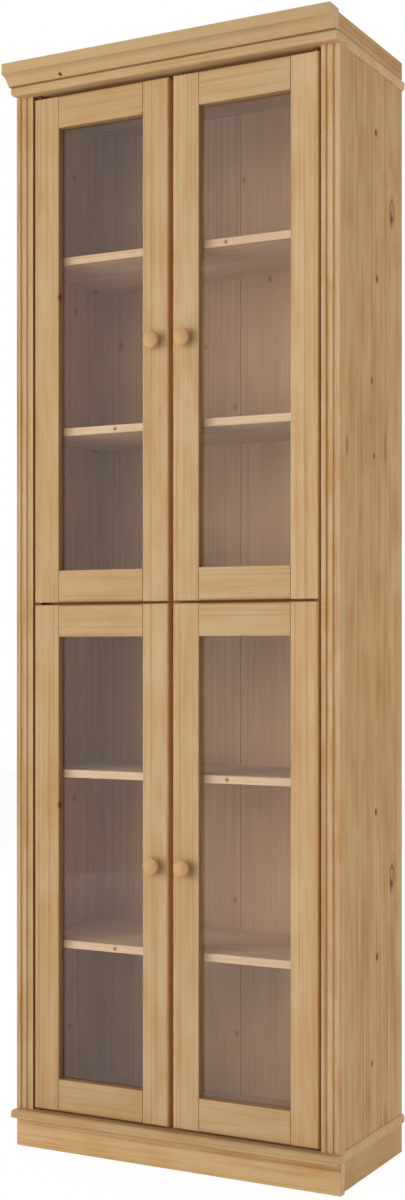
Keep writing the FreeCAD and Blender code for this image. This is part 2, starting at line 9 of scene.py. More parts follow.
import bmesh
import bpy
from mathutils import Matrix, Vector


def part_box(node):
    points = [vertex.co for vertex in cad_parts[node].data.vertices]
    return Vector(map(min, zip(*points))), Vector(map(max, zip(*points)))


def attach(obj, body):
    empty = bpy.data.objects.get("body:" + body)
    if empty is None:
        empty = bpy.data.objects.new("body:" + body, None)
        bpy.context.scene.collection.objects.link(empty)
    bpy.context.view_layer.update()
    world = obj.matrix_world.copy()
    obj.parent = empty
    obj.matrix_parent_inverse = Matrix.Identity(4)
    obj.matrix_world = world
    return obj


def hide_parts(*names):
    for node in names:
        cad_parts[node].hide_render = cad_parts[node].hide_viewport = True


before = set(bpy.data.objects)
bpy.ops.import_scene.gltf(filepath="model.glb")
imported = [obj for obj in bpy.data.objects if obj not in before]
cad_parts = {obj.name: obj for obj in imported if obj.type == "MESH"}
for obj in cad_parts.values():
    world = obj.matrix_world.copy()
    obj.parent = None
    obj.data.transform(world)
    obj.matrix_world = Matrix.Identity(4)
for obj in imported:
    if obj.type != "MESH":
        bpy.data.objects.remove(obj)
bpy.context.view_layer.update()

LOG = logging.getLogger("bookcase")
MM = 0.001
CARCASS = "carcass"

Colour = tuple[float, float, float]
Point = tuple[float, float, float]
Material = bpy.types.Material
Mesh = bpy.types.Mesh


class Axis(Enum):
    """A direction of the bookcase, with its place in a coordinate."""

    X = 0
    Y = 1
    Z = 2


def shade(red: int, green: int, blue: int) -> Colour:
    """A colour given from 0 to 255, as it shows on a screen, in linear light."""
    parts = (value / 255 for value in (red, green, blue))
    return tuple(p / 12.92 if p <= 0.04045 else ((p + 0.055) / 1.055) ** 2.4 for p in parts)


class Wire:
    """One output of a node, with arithmetic that adds the nodes it needs."""

    def __init__(self, wiring: "Wiring", socket: bpy.types.NodeSocket) -> None:
        """Keeps the socket and the tree it belongs to."""
        self.wiring = wiring
        self.socket = socket

    def other(self, name: str) -> "Wire":
        """Another output of the same node."""
        return Wire(self.wiring, self.socket.node.outputs[name])

    def maths(self, operation: str, first: object, second: object = None) -> "Wire":
        """Adds one arithmetic node, for numbers or for vectors as its inputs are.

        Args:
            operation: The node's operation.
            first: A wire, number or triple.
            second: The same, or None for an operation on one value.

        Returns:
            The node's result.
        """
        values = [v for v in (first, second) if v is not None]
        if any(isinstance(v, Wire) and v.socket.type == "VECTOR" for v in values):
            flat = [(v, v, v) if isinstance(v, (int, float)) else v for v in values]
            settings = {"operation": operation}
            return self.wiring.node("ShaderNodeVectorMath", settings, dict(enumerate(flat)))
        return self.wiring.node("ShaderNodeMath", {"operation": operation}, dict(enumerate(values)))

    def __add__(self, value: object) -> "Wire":
        """This plus a value."""
        return self.maths("ADD", self, value)

    def __radd__(self, value: object) -> "Wire":
        """A value plus this."""
        return self.maths("ADD", value, self)

    def __sub__(self, value: object) -> "Wire":
        """This less a value."""
        return self.maths("SUBTRACT", self, value)

    def __rsub__(self, value: object) -> "Wire":
        """A value less this."""
        return self.maths("SUBTRACT", value, self)

    def __mul__(self, value: object) -> "Wire":
        """This times a value."""
        return self.maths("MULTIPLY", self, value)

    def __truediv__(self, value: object) -> "Wire":
        """This over a value."""
        return self.maths("DIVIDE", self, value)

    def __pow__(self, value: object) -> "Wire":
        """This to a power."""
        return self.maths("POWER", self, value)

    def most(self, value: object) -> "Wire":
        """The larger of this and a value."""
        return self.maths("MAXIMUM", self, value)

    def floor(self) -> "Wire":
        """The whole number at or below this."""
        return self.maths("FLOOR", self)

    def wave(self, period: float = 1.0) -> "Wire":
        """A smooth wave between nought and one that repeats every period."""
        return self.maths("SINE", self * (2 * math.pi / period)) * 0.5 + 0.5

    def sign(self) -> "Wire":
        """Minus one, nought or one."""
        return self.maths("SIGN", self)

    def fade(self, start: float, end: float, first: float = 0.0, last: float = 1.0) -> "Wire":
        """Goes smoothly from the first level to the last as this passes from start to end."""
        levels = {0: self, 1: start, 2: end, 3: first, 4: last}
        return self.wiring.node("ShaderNodeMapRange", {"interpolation_type": "SMOOTHSTEP"}, levels)


class Wiring:
    """A node tree that is built with one method and ordinary arithmetic."""

    def __init__(self, tree: bpy.types.NodeTree) -> None:
        """Keeps the tree."""
        self.tree = tree

    def node(
        self, kind: str, settings: Mapping[str, object] | None = None,
        inputs: Mapping[int | str, object] | None = None, output: int | str = 0,
    ) -> Wire:
        """Adds a node.

        Args:
            kind: The node's type.
            settings: Its properties.
            inputs: Values or wires by socket name or number.
            output: The output wanted.

        Returns:
            That output.
        """
        made = self.tree.nodes.new(kind)
        for name, value in (settings or {}).items():
            setattr(made, name, value)
        for key, value in (inputs or {}).items():
            self.feed(made.inputs[key], value)
        return Wire(self, made.outputs[output]) if made.outputs else Wire(self, None)

    def feed(self, socket: bpy.types.NodeSocket, value: object) -> None:
        """Links a wire to a socket, or sets the socket to a plain value.

        Args:
            socket: The input.
            value: A wire, number, triple, flag or data block.
        """
        if isinstance(value, Wire):
            self.tree.links.new(value.socket, socket)
        elif socket.type == "RGBA" and len(value) == 3:
            socket.default_value = (*value, 1.0)
        else:
            socket.default_value = value

    def triple(self, x: object, y: object, z: object) -> Wire:
        """A vector from three numbers or wires."""
        return self.node("ShaderNodeCombineXYZ", inputs={0: x, 1: y, 2: z})


class Paint(Wiring):
    """The node tree of one material."""

    def __init__(self, name: str) -> None:
        """Makes an empty material.

        Args:
            name: Its name.
        """
        self.material = bpy.data.materials.new(name)
        self.material.use_nodes = True
        super().__init__(self.material.node_tree)
        self.tree.nodes.clear()

    def split(self, vector: Wire) -> tuple[Wire, Wire, Wire]:
        """The three numbers of a vector."""
        parts = self.node("ShaderNodeSeparateXYZ", inputs={0: vector})
        return parts, parts.other("Y"), parts.other("Z")

    def where(self) -> Wire:
        """A point's place in the bookcase, in metres."""
        return self.node("ShaderNodeTexCoord", output="Object")

    def noise(self, place: Wire, detail: float = 2.0, roughness: float = 0.5) -> Wire:
        """Soft noise about half, at unit scale."""
        inputs = {"Vector": place, "Scale": 1.0, "Detail": detail, "Roughness": roughness}
        return self.node("ShaderNodeTexNoise", inputs=inputs)

    def blend(self, share: object, first: object, second: object, mode: str = "MIX") -> Wire:
        """Mixes two colours.

        Args:
            share: How much of the second shows.
            first: The colour below.
            second: The colour above.
            mode: The way they mix.

        Returns:
            The mixed colour.
        """
        made = self.tree.nodes.new("ShaderNodeMix")
        made.data_type = "RGBA"
        made.blend_type = mode
        made.clamp_factor = True
        self.feed(made.inputs[0], share)
        self.feed(made.inputs[6], first)
        self.feed(made.inputs[7], second)
        return Wire(self, made.outputs[2])

    def relief(self, height: Wire, depth: float, strength: float = 1.0) -> Wire:
        """A normal bent by a height."""
        inputs = {"Height": height, "Distance": depth, "Strength": strength}
        return self.node("ShaderNodeBump", inputs=inputs)

    def surface(self, **inputs: object) -> Material:
        """Ends the tree in one plain surface shader.

        Args:
            inputs: The shader's inputs, with low lines for the spaces in their names.

        Returns:
            The finished material.
        """
        named = {name.replace("_", " "): value for name, value in inputs.items()}
        shader = self.node("ShaderNodeBsdfPrincipled", inputs=named)
        self.node("ShaderNodeOutputMaterial", inputs={"Surface": shader})
        return self.material


class Tone(Enum):
    """How light and how yellow a board is: its early wood and its late wood."""

    PALE = (shade(213, 182, 138), shade(196, 149, 96))
    HONEY = (shade(205, 177, 135), shade(187, 142, 90))
    BRIGHT = (shade(217, 184, 137), shade(201, 154, 100))
    FRESH = (shade(234, 204, 167), shade(218, 184, 144))
    ROSY = (shade(213, 177, 135), shade(192, 149, 108))
    SOFT = (shade(199, 170, 127), shade(182, 137, 86))
    # A darker, redder tone than the front's: painted shade for the boards that face sideways or back
    SHADED_WARM = (shade(195, 161, 110), shade(170, 119, 66))


class Layer(Enum):
    """Layers of a board's figure: repeats in a metre across the grain and along it, and detail."""

    DRIFT = (5.0, 0.9, 2.0)
    SWAY = (16.0, 2.2, 2.0)
    BLOTCH = (13.0, 1.1, 3.0)
    CLOUD = (24.0, 9.0, 2.0)
    BANDS = (60.0, 1.4, 2.0)
    LINES = (190.0, 0.8, 3.0)
    STREAKS = (280.0, 3.2, 4.0)
    FIBRES = (1100.0, 16.0, 3.0)


# How much of each layer goes into the figure, beside the late wood
FIGURE_SHARES = {
    Layer.BANDS: 0.5, Layer.LINES: 1.0, Layer.STREAKS: 0.9, Layer.FIBRES: 0.9, Layer.CLOUD: 1.4
}
LATE_SHARE = 0.2
LATE_EDGE = 2.6
FIGURE_LIFT = 0.07
FIGURE_REST = 0.3
# How the rings wander, in metres, how flat they lie, and the log's taper
RING_DRIFT = 0.03
RING_SWAY = 0.006
RING_FLATTEN = 0.6
LOG_TAPER = 0.007
# How far apart in the log two staves are cut: along it in metres, across it in stave widths
STAVE_SHIFT = 7.0
STAVE_PLAY = 0.9
# How far a knot bends the rings and stains the wood, and where it is solid, in its radii
KNOT_BEND = (0.6, 4.2, 1.6, 0.0)
KNOT_HALO = (0.9, 2.0)
KNOT_SOLID = (0.75, 1.1)
KNOT_HOLLOW = 0.3
# The noise levels between which dark fibres and reddish patches come in
FIBRE_BAND = (0.04, 0.2)
BLUSH_BAND = (-0.05, 0.2)
FIBRE_SHARE = 0.3

KNOT_RIM = shade(160, 98, 52)
KNOT_HEART = shade(84, 40, 16)
BLUSH = shade(190, 134, 84)
FIBRE = shade(156, 108, 62)
# Painted shade: the dark brown laid on edges, joints and reveals that sit in shade
PAINTED_SHADE_TONE = shade(132, 82, 40)
# Painted bounce light: a warm orange on door edges that face the gaps, for light bounced between the
# wooden faces
PAINTED_BOUNCE_TONE = shade(236, 166, 98)
# Painted shade with warm bounce light, on the middle shelf's front in the gap between upper and lower
# doors
PAINTED_GAP_SHADE = shade(198, 110, 44)


@dataclass(frozen=True)
class Knot:
    """A knot or streak in a board's face, in metres; a hollow one is a dark ring.

    With a level it is a speck at that depth; without one it goes right through the board.
    """

    across: float
    along: float
    radius: float
    stretch: float = 1.5
    dark: float = 1.0
    hollow: float = 0.0
    level: float | None = None


@dataclass(frozen=True)
class PaintedShading:
    """Painted shade towards a board's edge where it sits in a gap, joint or reveal, dark brown by
    default and warm orange for painted bounce light: along an axis, from one place to another.
    """

    axis: Axis
    start: float
    end: float
    share: float
    colour: Colour

    @classmethod
    def beside(
        cls, axis: Axis, edge: float, inward: float, reach: tuple[float, float], share: float,
        colour: Colour = PAINTED_SHADE_TONE,
    ) -> "PaintedShading":
        """Painted shade at an edge; reach says how far inward from it the painted colour begins and is
        complete.
        """
        start, end = (edge + inward * far for far in reach)
        return cls(axis, start, end, share, colour)


@dataclass(frozen=True)
class Run:
    """A point's place along, across and into its board, and along the log it was sawn from."""

    paint: Paint
    along: Wire
    across: Wire
    depth: Wire
    grown: Wire
    shift: object

    def strands(self, layer: Layer, wide: float | None = None) -> Wire:
        """Noise about nought, drawn out along the grain.

        Args:
            layer: Its size and detail.
            wide: Its repeats in a metre across the grain, where they aren't the layer's own.

        Returns:
            The noise.
        """
        repeats, long, detail = layer.value
        wide = wide or repeats
        place = self.paint.triple(self.across * wide + self.shift, self.depth * wide, self.grown * long)
        return self.paint.noise(place, detail) - 0.5


@dataclass(frozen=True)
class Pine:
    """Clear-lacquered pine, its grain along one axis of the bookcase.

    Middle is the board's centre across the grain, stave the width of its glued strips, pith how
    far behind its face the log's heart lies and ring a year's growth. Figure, fine, blush and patch
    say how strongly it is marked, how narrow its lines are, how it reddens and how its staves differ.
    """

    node: str
    grain: Axis
    face: Axis
    seed: float
    tone: Tone = Tone.HONEY
    middle: float = 0.0
    stave: float = 0.0
    pith: float = 0.055
    ring: float = 0.0036
    knots: tuple[Knot, ...] = ()
    figure: float = 1.0
    fine: float | None = None
    blush: float = 0.2
    patch: float = 0.2
    rims: tuple[PaintedShading, ...] = ()

    def lay(self, paint: Paint) -> tuple[Run, Wire, object]:
        """Lays the board, or each stave of a glued-up one, in a place of its own in the log.

        Args:
            paint: The tree to add to.

        Returns:
            The run, the place across the log, and how dark the stave is from nought to one.
        """
        parts = paint.split(paint.where())
        sideways = ({0, 1, 2} - {self.grain.value, self.face.value}).pop()
        along, across, depth = parts[self.grain.value], parts[sideways], parts[self.face.value]
        local = across - self.middle
        if not self.stave:
            return Run(paint, along, across, depth, along + self.seed, self.seed), local, 0.0
        index = (local / self.stave).floor()
        chance = {"W": index + self.seed}
        dice = paint.node("ShaderNodeTexWhiteNoise", {"noise_dimensions": "1D"}, chance)
        aside = paint.node("ShaderNodeSeparateColor", inputs={0: dice.other("Color")})
        shift = aside.other("Green") * STAVE_SHIFT + self.seed
        local = local - (index + 0.5) * self.stave + (aside - 0.5) * (self.stave * STAVE_PLAY)
        return Run(paint, along, across, depth, along + shift, shift), local, aside.other("Blue")

    def knot_field(self, knot: Knot, run: Run, wobble: Wire) -> Wire:
        """How far a point is from a knot, in knot radii.

        Args:
            knot: The knot.
            run: The board.
            wobble: Noise about nought that keeps the outline from being a perfect oval.

        Returns:
            The distance, one at the knot's edge.
        """
        side = (run.across - knot.across) / knot.radius
        ahead = (run.along - knot.along) / (knot.radius * knot.stretch)
        square = side * side + ahead * ahead
        if knot.level is not None:
            under = (run.depth - knot.level) / knot.radius
            square = square + under * under
        return square**0.5 * (1.0 + wobble * 0.5)

    def paint_edge_shading(self, paint: Paint, colour: Wire) -> Wire:
        """Paints shade into the colour towards the board's edges, some of it in the warm colour of
        bounced light.

        Args:
            paint: The tree to add to.
            colour: The board's colour.

        Returns:
            The colour with painted shade at its edges.
        """
        places = paint.split(paint.where())
        for rim in self.rims:
            share = places[rim.axis.value].fade(rim.start, rim.end, 0.0, rim.share)
            colour = paint.blend(share, colour, rim.colour)
        return colour

    def material(self) -> Material:
        """Builds the board's material.

        Returns:
            The material.
        """
        paint = Paint(f"pine_{self.node}")
        run, local, dark = self.lay(paint)
        wide = {Layer.LINES: self.fine}
        noise = {layer: run.strands(layer, wide.get(layer)) for layer in Layer}
        drift, streaks, fibres = noise[Layer.DRIFT], noise[Layer.STREAKS], noise[Layer.FIBRES]
        aside = local + drift * RING_DRIFT + noise[Layer.SWAY] * RING_SWAY
        away = run.depth * RING_FLATTEN + self.pith + drift * RING_DRIFT
        turns = ((aside * aside + away * away) ** 0.5 + run.grown * LOG_TAPER) / self.ring
        halo: object = 0.0
        heart: object = 0.0
        for knot in self.knots:
            off = self.knot_field(knot, run, streaks)
            turns = turns + off.fade(*KNOT_BEND)
            halo = off.fade(*KNOT_HALO, knot.dark, 0.0) + halo
            solid = off.fade(*KNOT_SOLID, knot.dark, 0.0)
            if knot.hollow:
                solid = solid * off.fade(knot.hollow - KNOT_HOLLOW, knot.hollow)
            heart = solid + heart
        late = turns.wave() ** LATE_EDGE
        pattern = late * LATE_SHARE - FIGURE_LIFT
        for layer, share in FIGURE_SHARES.items():
            pattern = pattern + noise[layer] * share
        early_tone, late_tone = self.tone.value
        colour = paint.blend(pattern * self.figure + FIGURE_REST, early_tone, late_tone)
        dark_lines = noise[Layer.LINES].fade(*FIBRE_BAND, 0.0, FIBRE_SHARE * self.figure)
        colour = paint.blend(dark_lines, colour, FIBRE)
        colour = paint.blend(noise[Layer.BLOTCH].fade(*BLUSH_BAND, 0.0, self.blush), colour, BLUSH)
        if self.stave:
            colour = paint.blend(dark * self.patch, colour, late_tone)
        if self.knots:
            colour = paint.blend(halo * 0.5, colour, KNOT_RIM)
            colour = paint.blend(heart * (0.92 + streaks * 0.5), colour, KNOT_HEART)
        height = fibres * 0.5 + streaks * 0.3 + late * 0.4
        return paint.surface(
            Base_Color=self.paint_edge_shading(paint, colour),
            Roughness=0.5 - late * 0.06 + fibres * 0.12,
            Normal=paint.relief(height, 0.25 * MM, 0.5),
            Specular_IOR_Level=0.1,
        )

    def apply(self) -> None:
        """Puts the material on the board."""
        dress(self.node, self.material())


@dataclass(frozen=True)
class TurnedPine:
    """Pine turned on a lathe, its end grain facing the front."""

    name: str
    centre: Point
    seed: float
    ring: float = 2.6 * MM
    tool_mark: float = 1.1 * MM
    heart_x: float = -0.03
    heart_z: float = 0.05

    def material(self) -> Material:
        """Builds the knob's material.

        Returns:
            The material.
        """
        paint = Paint(self.name)
        inputs = {0: paint.where(), 1: tuple(-c for c in self.centre)}
        settled = paint.node("ShaderNodeMapping", inputs=inputs)
        x, y, z = paint.split(settled)
        warp = paint.noise(settled * (60.0, 60.0, 60.0) + (self.seed, 0.0, 0.0)) - 0.5
        off = ((x - self.heart_x) ** 2 + (z - self.heart_z) ** 2) ** 0.5 + warp * 0.004
        late = off.wave(self.ring) ** 2
        tool = y.wave(self.tool_mark) * 0.3
        grit = paint.noise(settled * (700.0, 200.0, 700.0))
        colour = paint.blend(late * 0.55 + grit * 0.3, shade(214, 172, 116), shade(182, 132, 78))
        normal = paint.relief(tool + grit * 0.5, 0.15 * MM, 0.4)
        rough = 0.4 + grit * 0.12
        return paint.surface(Base_Color=colour, Roughness=rough, Normal=normal, Coat_Weight=0.2)


@dataclass(frozen=True)
class ClearGlass:
    """Thin clear float glass that shows what is behind it."""

    name: str
    tint: Colour = (0.99, 0.985, 0.985)
    mirror: float = 0.036

    def material(self) -> Material:
        """Builds the pane's material.

        Returns:
            The material.
        """
        paint = Paint(self.name)
        where = paint.where()
        dust = paint.noise(where * (9.0, 9.0, 5.0), 4.0, 0.6).fade(0.45, 0.8, 0.0, 0.006)
        clear = paint.node("ShaderNodeBsdfTransparent", inputs={0: self.tint})
        gloss = paint.node("ShaderNodeBsdfGlossy", inputs={"Color": (1.0, 1.0, 1.0), "Roughness": 0.02})
        slant = paint.node("ShaderNodeLayerWeight", inputs={"Blend": 0.5}, output="Facing")
        bounce = slant**5 * (1.0 - self.mirror) + self.mirror
        shown = paint.node("ShaderNodeMixShader", inputs={0: bounce + dust, 1: clear, 2: gloss})
        paint.node("ShaderNodeOutputMaterial", inputs={"Surface": shown})
        return paint.material


class Alloy(Enum):
    """Metals of the fittings: base colour, roughness and how streaked they are."""

    STEEL = (shade(176, 176, 174), 0.34, 0.12)
    BRONZED = (shade(150, 102, 62), 0.5, 0.1)
    BRASS = (shade(206, 168, 96), 0.3, 0.08)


@dataclass(frozen=True)
class Metal:
    """Plain drawn or turned metal with fine streaks and dull patches."""

    name: str
    alloy: Alloy

    def material(self) -> Material:
        """Builds the metal's material.

        Returns:
            The material.
        """
        paint = Paint(self.name)
        colour, rough, streak = self.alloy.value
        where = paint.where()
        lines = paint.noise(where * (300.0, 1800.0, 1800.0), 3.0)
        patch = paint.noise(where * (90.0, 90.0, 90.0), 3.0, 0.6)
        dull = tuple(part * 0.62 for part in colour)
        mixed = paint.blend(patch.fade(0.45, 0.8, 0.0, 0.5), colour, dull)
        spread = rough + (lines - 0.5) * streak + patch * 0.1
        normal = paint.relief(lines, 0.04 * MM, 0.4)
        return paint.surface(Base_Color=mixed, Metallic=1.0, Roughness=spread, Normal=normal)


@dataclass(frozen=True)
class Moulded:
    """Fine-textured brown plastic."""

    name: str

    def material(self) -> Material:
        """Builds the plastic's material.

        Returns:
            The material.
        """
        paint = Paint(self.name)
        where = paint.where()
        grit = paint.noise(where * (2600.0, 2600.0, 2600.0))
        cloud = paint.noise(where * (60.0, 60.0, 60.0), 3.0)
        colour = paint.blend(cloud.fade(0.3, 0.7), shade(120, 84, 56), shade(104, 70, 46))
        normal = paint.relief(grit, 0.06 * MM, 0.6)
        return paint.surface(Base_Color=colour, Roughness=0.52 + (grit - 0.5) * 0.2, Normal=normal)


def stand(name: str, data: bpy.types.ID) -> bpy.types.Object:
    """Puts a new object in the scene."""
    thing = bpy.data.objects.new(name, data)
    bpy.context.scene.collection.objects.link(thing)
    return thing


def dress(node: str, material: Material) -> None:
    """Gives a CAD piece its finish.

    Args:
        node: The piece's name.
        material: The finish.
    """
    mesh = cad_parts[node].data
    for place in range(len(mesh.materials)):
        mesh.materials[place] = material
    LOG.info("dressed %s in %s", node, material.name)


def settle(name: str, mesh: Mesh, body: str, slot: str, *nodes: str) -> bpy.types.Object:
    """Puts a finished mesh in the scene as one piece.

    Args:
        name: The piece's name.
        mesh: Its mesh, already in place.
        body: The body it moves with.
        slot: The material slot it stands for; not used.
        nodes: The CAD pieces it stands for.

    Returns:
        The piece.
    """
    piece = stand(name, mesh)
    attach(piece, body)
    if nodes:
        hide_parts(*nodes)
    LOG.info("made %s: %d faces on %s", name, len(mesh.polygons), body)
    return piece


class Spread(Wiring):
    """A geometry tree with named sizes that ends in plain, dressed mesh."""

    def __init__(self, name: str, sizes: Mapping[str, float]) -> None:
        """Makes a tree with one number input for each size.

        Args:
            name: The tree's name.
            sizes: The inputs' names and values.
        """
        super().__init__(bpy.data.node_groups.new(name, "GeometryNodeTree"))
        face = self.tree.interface
        face.new_socket("Geometry", in_out="INPUT", socket_type="NodeSocketGeometry")
        for size in sizes:
            face.new_socket(size, in_out="INPUT", socket_type="NodeSocketFloat")
        face.new_socket("Geometry", in_out="OUTPUT", socket_type="NodeSocketGeometry")
        self.sizes = dict(sizes)
        self.start = self.node("NodeGroupInput")

    def value(self, name: str) -> Wire:
        """One of the tree's inputs."""
        return self.start.other(name)

    def close(self, shape: Wire, material: Material) -> None:
        """Ends the tree in real geometry with a finish.

        Args:
            shape: The geometry.
            material: Its finish.
        """
        real = self.node("GeometryNodeRealizeInstances", inputs={0: shape})
        dressed = self.node("GeometryNodeSetMaterial", inputs={0: real, "Material": material})
        self.node("NodeGroupOutput", inputs={0: dressed})

    def grow(self, name: str, seeds: Mesh) -> Mesh:
        """Runs the tree on a mesh and gives the result as a plain mesh.

        Args:
            name: The new mesh's name.
            seeds: The points or lines that the tree starts from.

        Returns:
            The result.
        """
        carrier = stand(name + "_seeds", seeds)
        modifier = carrier.modifiers.new("spread", "NODES")
        modifier.node_group = self.tree
        for item in self.tree.interface.items_tree:
            if item.in_out == "INPUT" and item.name in self.sizes:
                modifier[item.identifier] = float(self.sizes[item.name])
        view = bpy.context.evaluated_depsgraph_get()
        mesh = bpy.data.meshes.new_from_object(carrier.evaluated_get(view))
        mesh.name = name
        carrier.modifiers.remove(modifier)
        bpy.data.objects.remove(carrier)
        return mesh


def points_mesh(name: str, points: Sequence[Point], closed: bool = False) -> Mesh:
    """A mesh of loose points, or of a closed line through them.

    Args:
        name: The mesh's name.
        points: The points.
        closed: Whether edges join them in a ring.

    Returns:
        The mesh.
    """
    mesh = bpy.data.meshes.new(name)
    count = len(points)
    edges = [(i, (i + 1) % count) for i in range(count)] if closed else []
    mesh.from_pydata(points, edges, [])
    return mesh


def oblong(name: str, x0: float, x1: float, y: float, z0: float, z1: float) -> Mesh:
    """A closed line round an upright oblong that faces the front."""
    return points_mesh(name, [(x0, y, z0), (x1, y, z0), (x1, y, z1), (x0, y, z1)], closed=True)


def smooth_mesh(name: str, shape: bmesh.types.BMesh, material: Material, angle: float) -> Mesh:
    """Turns a shape into a finished mesh with outward faces.

    Args:
        name: The mesh's name.
        shape: The shape, which is used up.
        material: Its finish.
        angle: Edges sharper than this many degrees stay sharp.

    Returns:
        The mesh.
    """
    bmesh.ops.remove_doubles(shape, verts=shape.verts, dist=1e-6)
    bmesh.ops.recalc_face_normals(shape, faces=shape.faces)
    for edge in shape.edges:
        edge.smooth = len(edge.link_faces) == 2 and edge.calc_face_angle() < math.radians(angle)
    for face in shape.faces:
        face.smooth = True
    mesh = bpy.data.meshes.new(name)
    shape.to_mesh(mesh)
    shape.free()
    mesh.materials.append(material)
    return mesh


@dataclass(frozen=True)
class Finishes:
    """The finishes that many pieces share."""

    glass: Material
    steel: Material
    brass: Material


@dataclass(frozen=True)
class SideLook:
    """How one side of the case is finished, and how clearly its knots show."""

    side: str
    outward: float
    seed: float
    panel: Tone
    pilaster: Tone
    figure: float
    # Share of painted shade at the pilaster's inner edge, in the gap beside the doors
    inner_shade: float
    knot_share: float


@dataclass
class Carcass:
    """The standing case: sides, back, pilasters, boards and shelves."""

    stave: float = 0.076
    shelf_stave: float = 0.094
    # Share of painted shade on each pilaster's outer side face
    outer_shade: float = 0.22
    looks: tuple[SideLook, ...] = (
        SideLook("right", 1.0, 3.7, Tone.SHADED_WARM, Tone.PALE, 1.2, 0.2, 1.0),
        # The left panel's tone is lighter than the right's: painted light on its inner face, seen
        # through the left doors
        SideLook("left", -1.0, 11.2, Tone.ROSY, Tone.SOFT, 0.8, 0.55, 0.4),
    )
    side_knots: tuple[Knot, ...] = (
        Knot(-0.1095, 2.0144, 0.0048, 1.2),
        Knot(0.0498, 2.0228, 0.0052, 1.3),
        Knot(0.055, 1.7389, 0.0052),
        Knot(0.054, 1.78, 0.0024, 16.0, 0.3),
        Knot(0.0294, 1.5361, 0.0042, 1.4, 0.9),
        Knot(0.1339, 1.8894, 0.012, 2.0, 0.8, 0.8),
        Knot(0.13, 1.87, 0.006, 2.6, 0.5),
        Knot(-0.0936, 1.3991, 0.006, 3.2, 0.45),
        Knot(0.0396, 1.3916, 0.0042, 1.4, 0.8),
        Knot(0.098, 1.4136, 0.007, 4.5, 0.3),
    )
    side_repeat: float = 1.3245
    back_knots: tuple[Knot, ...] = (
        Knot(-0.2932, 1.679, 0.005, 1.4, 0.5),
        Knot(0.0084, 2.0044, 0.004, 1.4, 0.4),
        Knot(0.0684, 1.7894, 0.004, 1.3, 0.5),
        Knot(-0.0129, 1.5269, 0.004, 1.5, 0.4),
        Knot(-0.0829, 1.6596, 0.003, 1.4, 0.4),
        Knot(-0.0136, 0.4858, 0.004, 1.5, 0.5),
        Knot(-0.0089, 0.2053, 0.004, 1.4, 0.4),
        Knot(0.21, 0.93, 0.004, 1.4, 0.4),
    )
    shelf_specks: tuple[float, ...] = (-0.1402, 0.1118, -0.1402, 0.1096)
    speck_radius: float = 3.2 * MM

    def side_knot_set(self, share: float) -> tuple[Knot, ...]:
        """A side panel's knots, the same run of wood twice over.

        Args:
            share: How strongly they show; a faint set has no hollow ones.

        Returns:
            The knots that fall on the panel.
        """
        low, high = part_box("side_panel_right")
        lower = tuple(replace(knot, along=knot.along - self.side_repeat) for knot in self.side_knots)
        shown = [knot for knot in self.side_knots + lower if low.z < knot.along < high.z]
        return tuple(replace(k, dark=k.dark * share) for k in shown if share == 1.0 or not k.hollow)

    def dress_sides(self) -> None:
        """Finishes the two side panels and the pilasters."""
        for look in self.looks:
            Pine(
                f"side_panel_{look.side}", Axis.Z, Axis.X, look.seed, look.panel,
                middle=-0.115, stave=self.stave, pith=0.05, ring=0.0042, fine=100.0,
                knots=self.side_knot_set(look.knot_share), figure=look.figure, blush=0.15, patch=0.1,
            ).apply()
            node = f"pilaster_{look.side}"
            low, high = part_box(node)
            inner, outer = (low.x, high.x) if look.outward > 0 else (high.x, low.x)
            # Painted shade: darker on the pilaster's outer side face, as on the shaded side of the case,
            # and in the gap at its inner edge beside the doors
            rims = (
                PaintedShading.beside(Axis.X, outer, -look.outward, (1.6 * MM, 0.4 * MM), self.outer_shade),
                PaintedShading.beside(Axis.X, inner, look.outward, (1.8 * MM, 0.3 * MM), look.inner_shade),
            )
            Pine(
                node, Axis.Z, Axis.Y, look.seed + 1.9, look.pilaster,
                middle=(low.x + high.x) / 2, pith=0.2, ring=0.003, figure=1.3, rims=rims,
            ).apply()

    def dress_back(self) -> None:
        """Finishes the two back panels."""
        for side, seed in (("left", 21.4), ("right", 27.9)):
            near = tuple(knot for knot in self.back_knots if (knot.across < 0) == (side == "left"))
            Pine(
                f"back_panel_{side}", Axis.Z, Axis.Y, seed, Tone.ROSY,
                stave=self.shelf_stave, pith=0.06, ring=0.0045, knots=near, figure=0.7,
            ).apply()

    def dress_boards(self) -> None:
        """Finishes the top and bottom boards and the shelves."""
        loose = {f"shelf_{number}": speck for number, speck in enumerate(self.shelf_specks, 1)}
        for count, node in enumerate(("top_board", "bottom_board", "middle_shelf", *loose)):
            low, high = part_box(node)
            tone, knots, rims = Tone.HONEY, (), ()
            if node in loose:
                tone = Tone.FRESH
                level = (low.z + high.z) / 2
                knots = (Knot(low.y, loose[node], self.speck_radius, 1.1, 0.8, level=level),)
            elif node == "middle_shelf":
                # Painted shade on the middle shelf's front edge, in the gap between the upper and lower
                # doors
                rims = (PaintedShading.beside(Axis.Y, low.y, 1.0, (1.2 * MM, 0.2 * MM), 0.6, PAINTED_GAP_SHADE),)
            Pine(
                node, Axis.X, Axis.Z, 31.0 + 2.3 * count, tone,
                middle=-0.12, stave=self.shelf_stave, pith=0.07, ring=0.004, knots=knots, rims=rims,
            ).apply()

    def build(self) -> None:
        """Finishes every board of the case."""
        self.dress_sides()
        self.dress_back()
        self.dress_boards()


